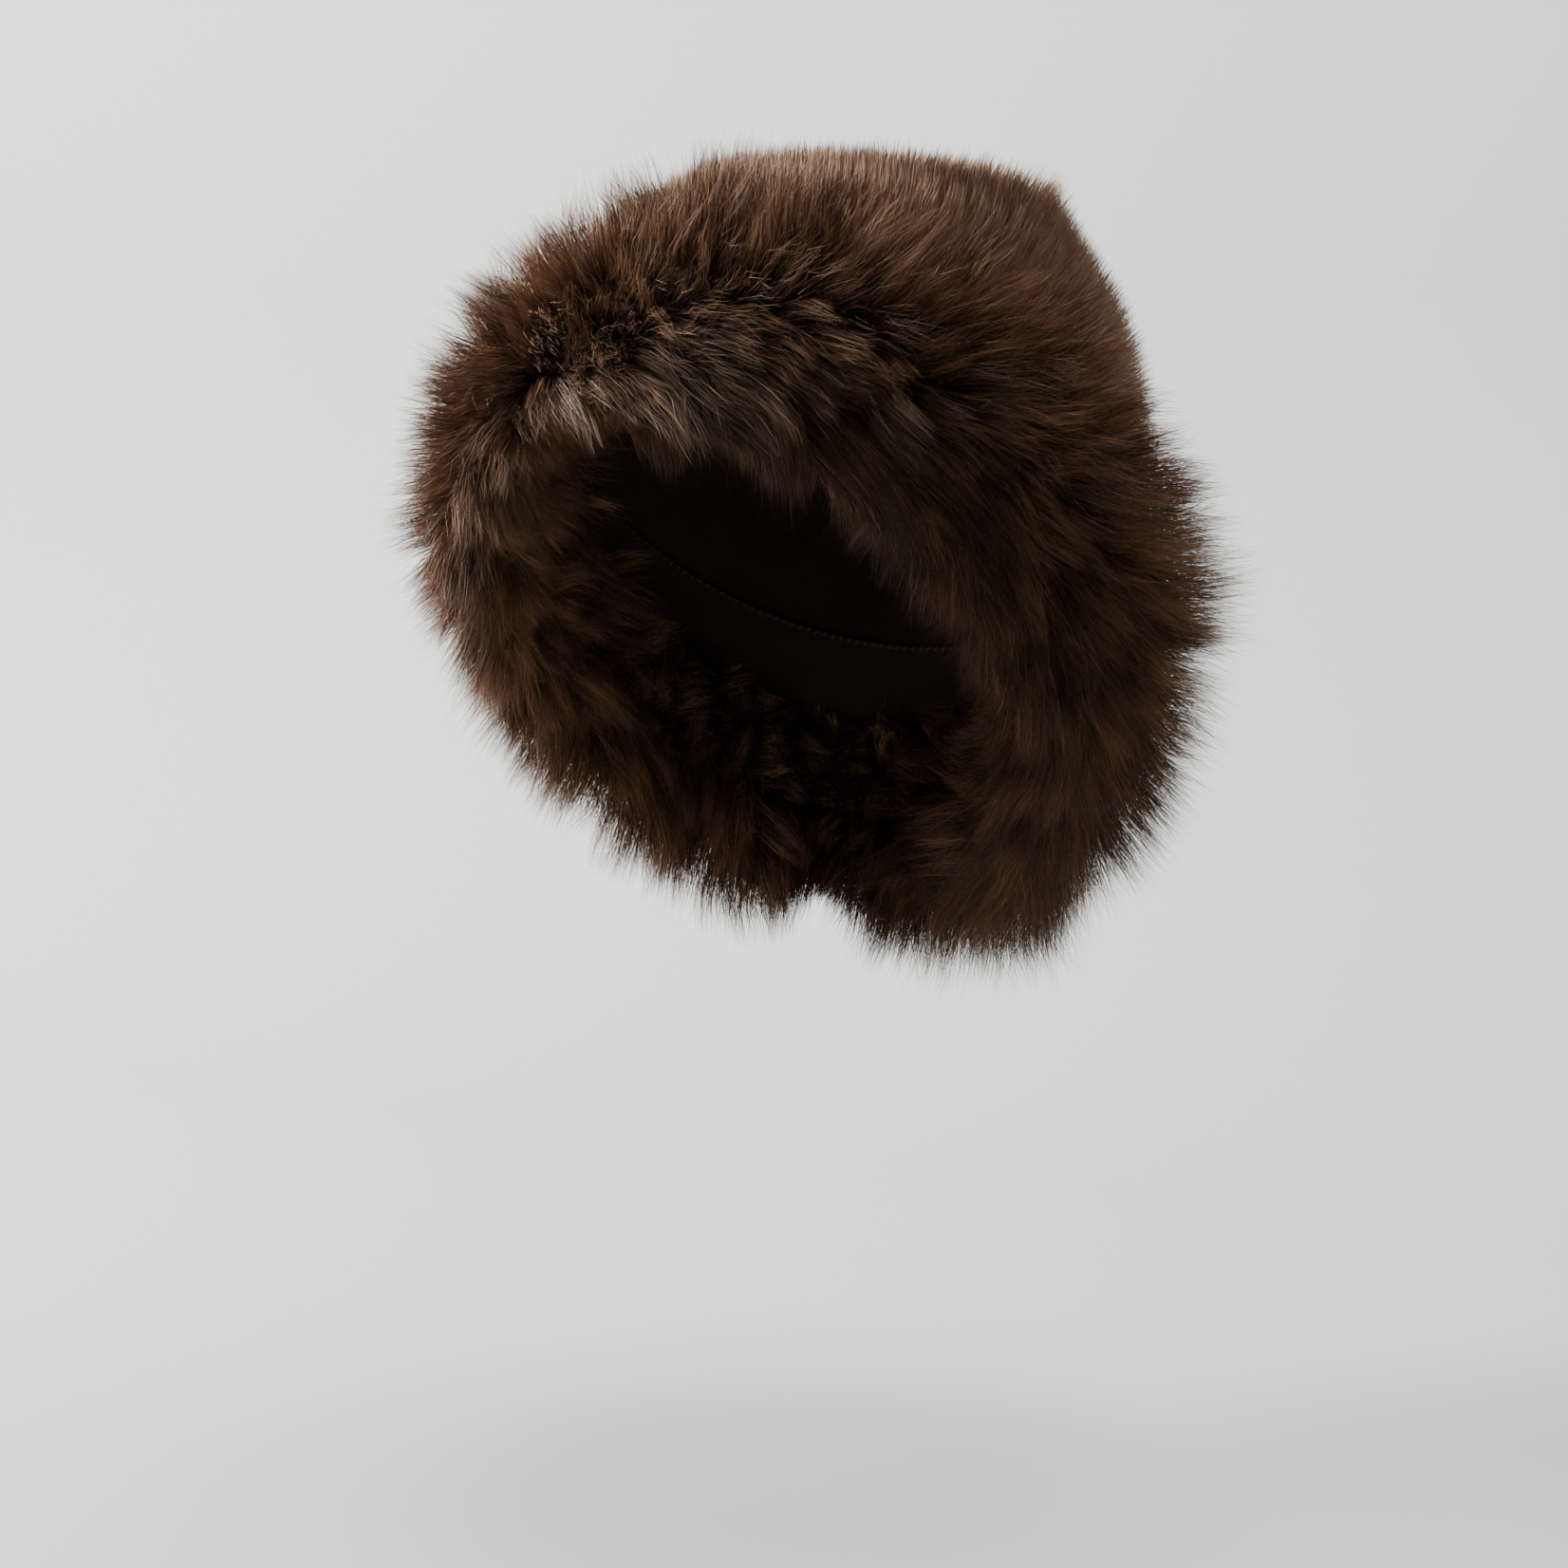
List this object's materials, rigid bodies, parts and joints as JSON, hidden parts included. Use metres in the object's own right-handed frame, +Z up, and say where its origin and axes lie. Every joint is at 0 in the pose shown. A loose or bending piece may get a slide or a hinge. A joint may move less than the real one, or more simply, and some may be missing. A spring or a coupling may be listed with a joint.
{
  "type": "fur bonnet hat",
  "caption": "Long-haired fur bonnet: a tapered short-haired crown with a flat tip and a deep brim whose long hair wraps over its edge to frame the face.",
  "frame": {"origin": "where the top of a head sits, on the inner face of the crown's tip", "axes": "+Z up along the head, -Y the hat's front, +X the wearer's left"},
  "size_m": [0.333, 0.3248, 0.3318],
  "materials": {
    "skin": "dark brown napped leather, matt",
    "crown_hair": "short dense warm brown fur, soft sheen",
    "brim_hair": "long dark brown fur with lighter tips, soft sheen"
  },
  "bodies": {
    "root": {"crown_tip": "skin", "crown_side": "skin", "brim": "skin", "tip_fur": "crown_hair", "crown_fur": "crown_hair", "brim_fur": "brim_hair"}
  },
  "joints": []
}
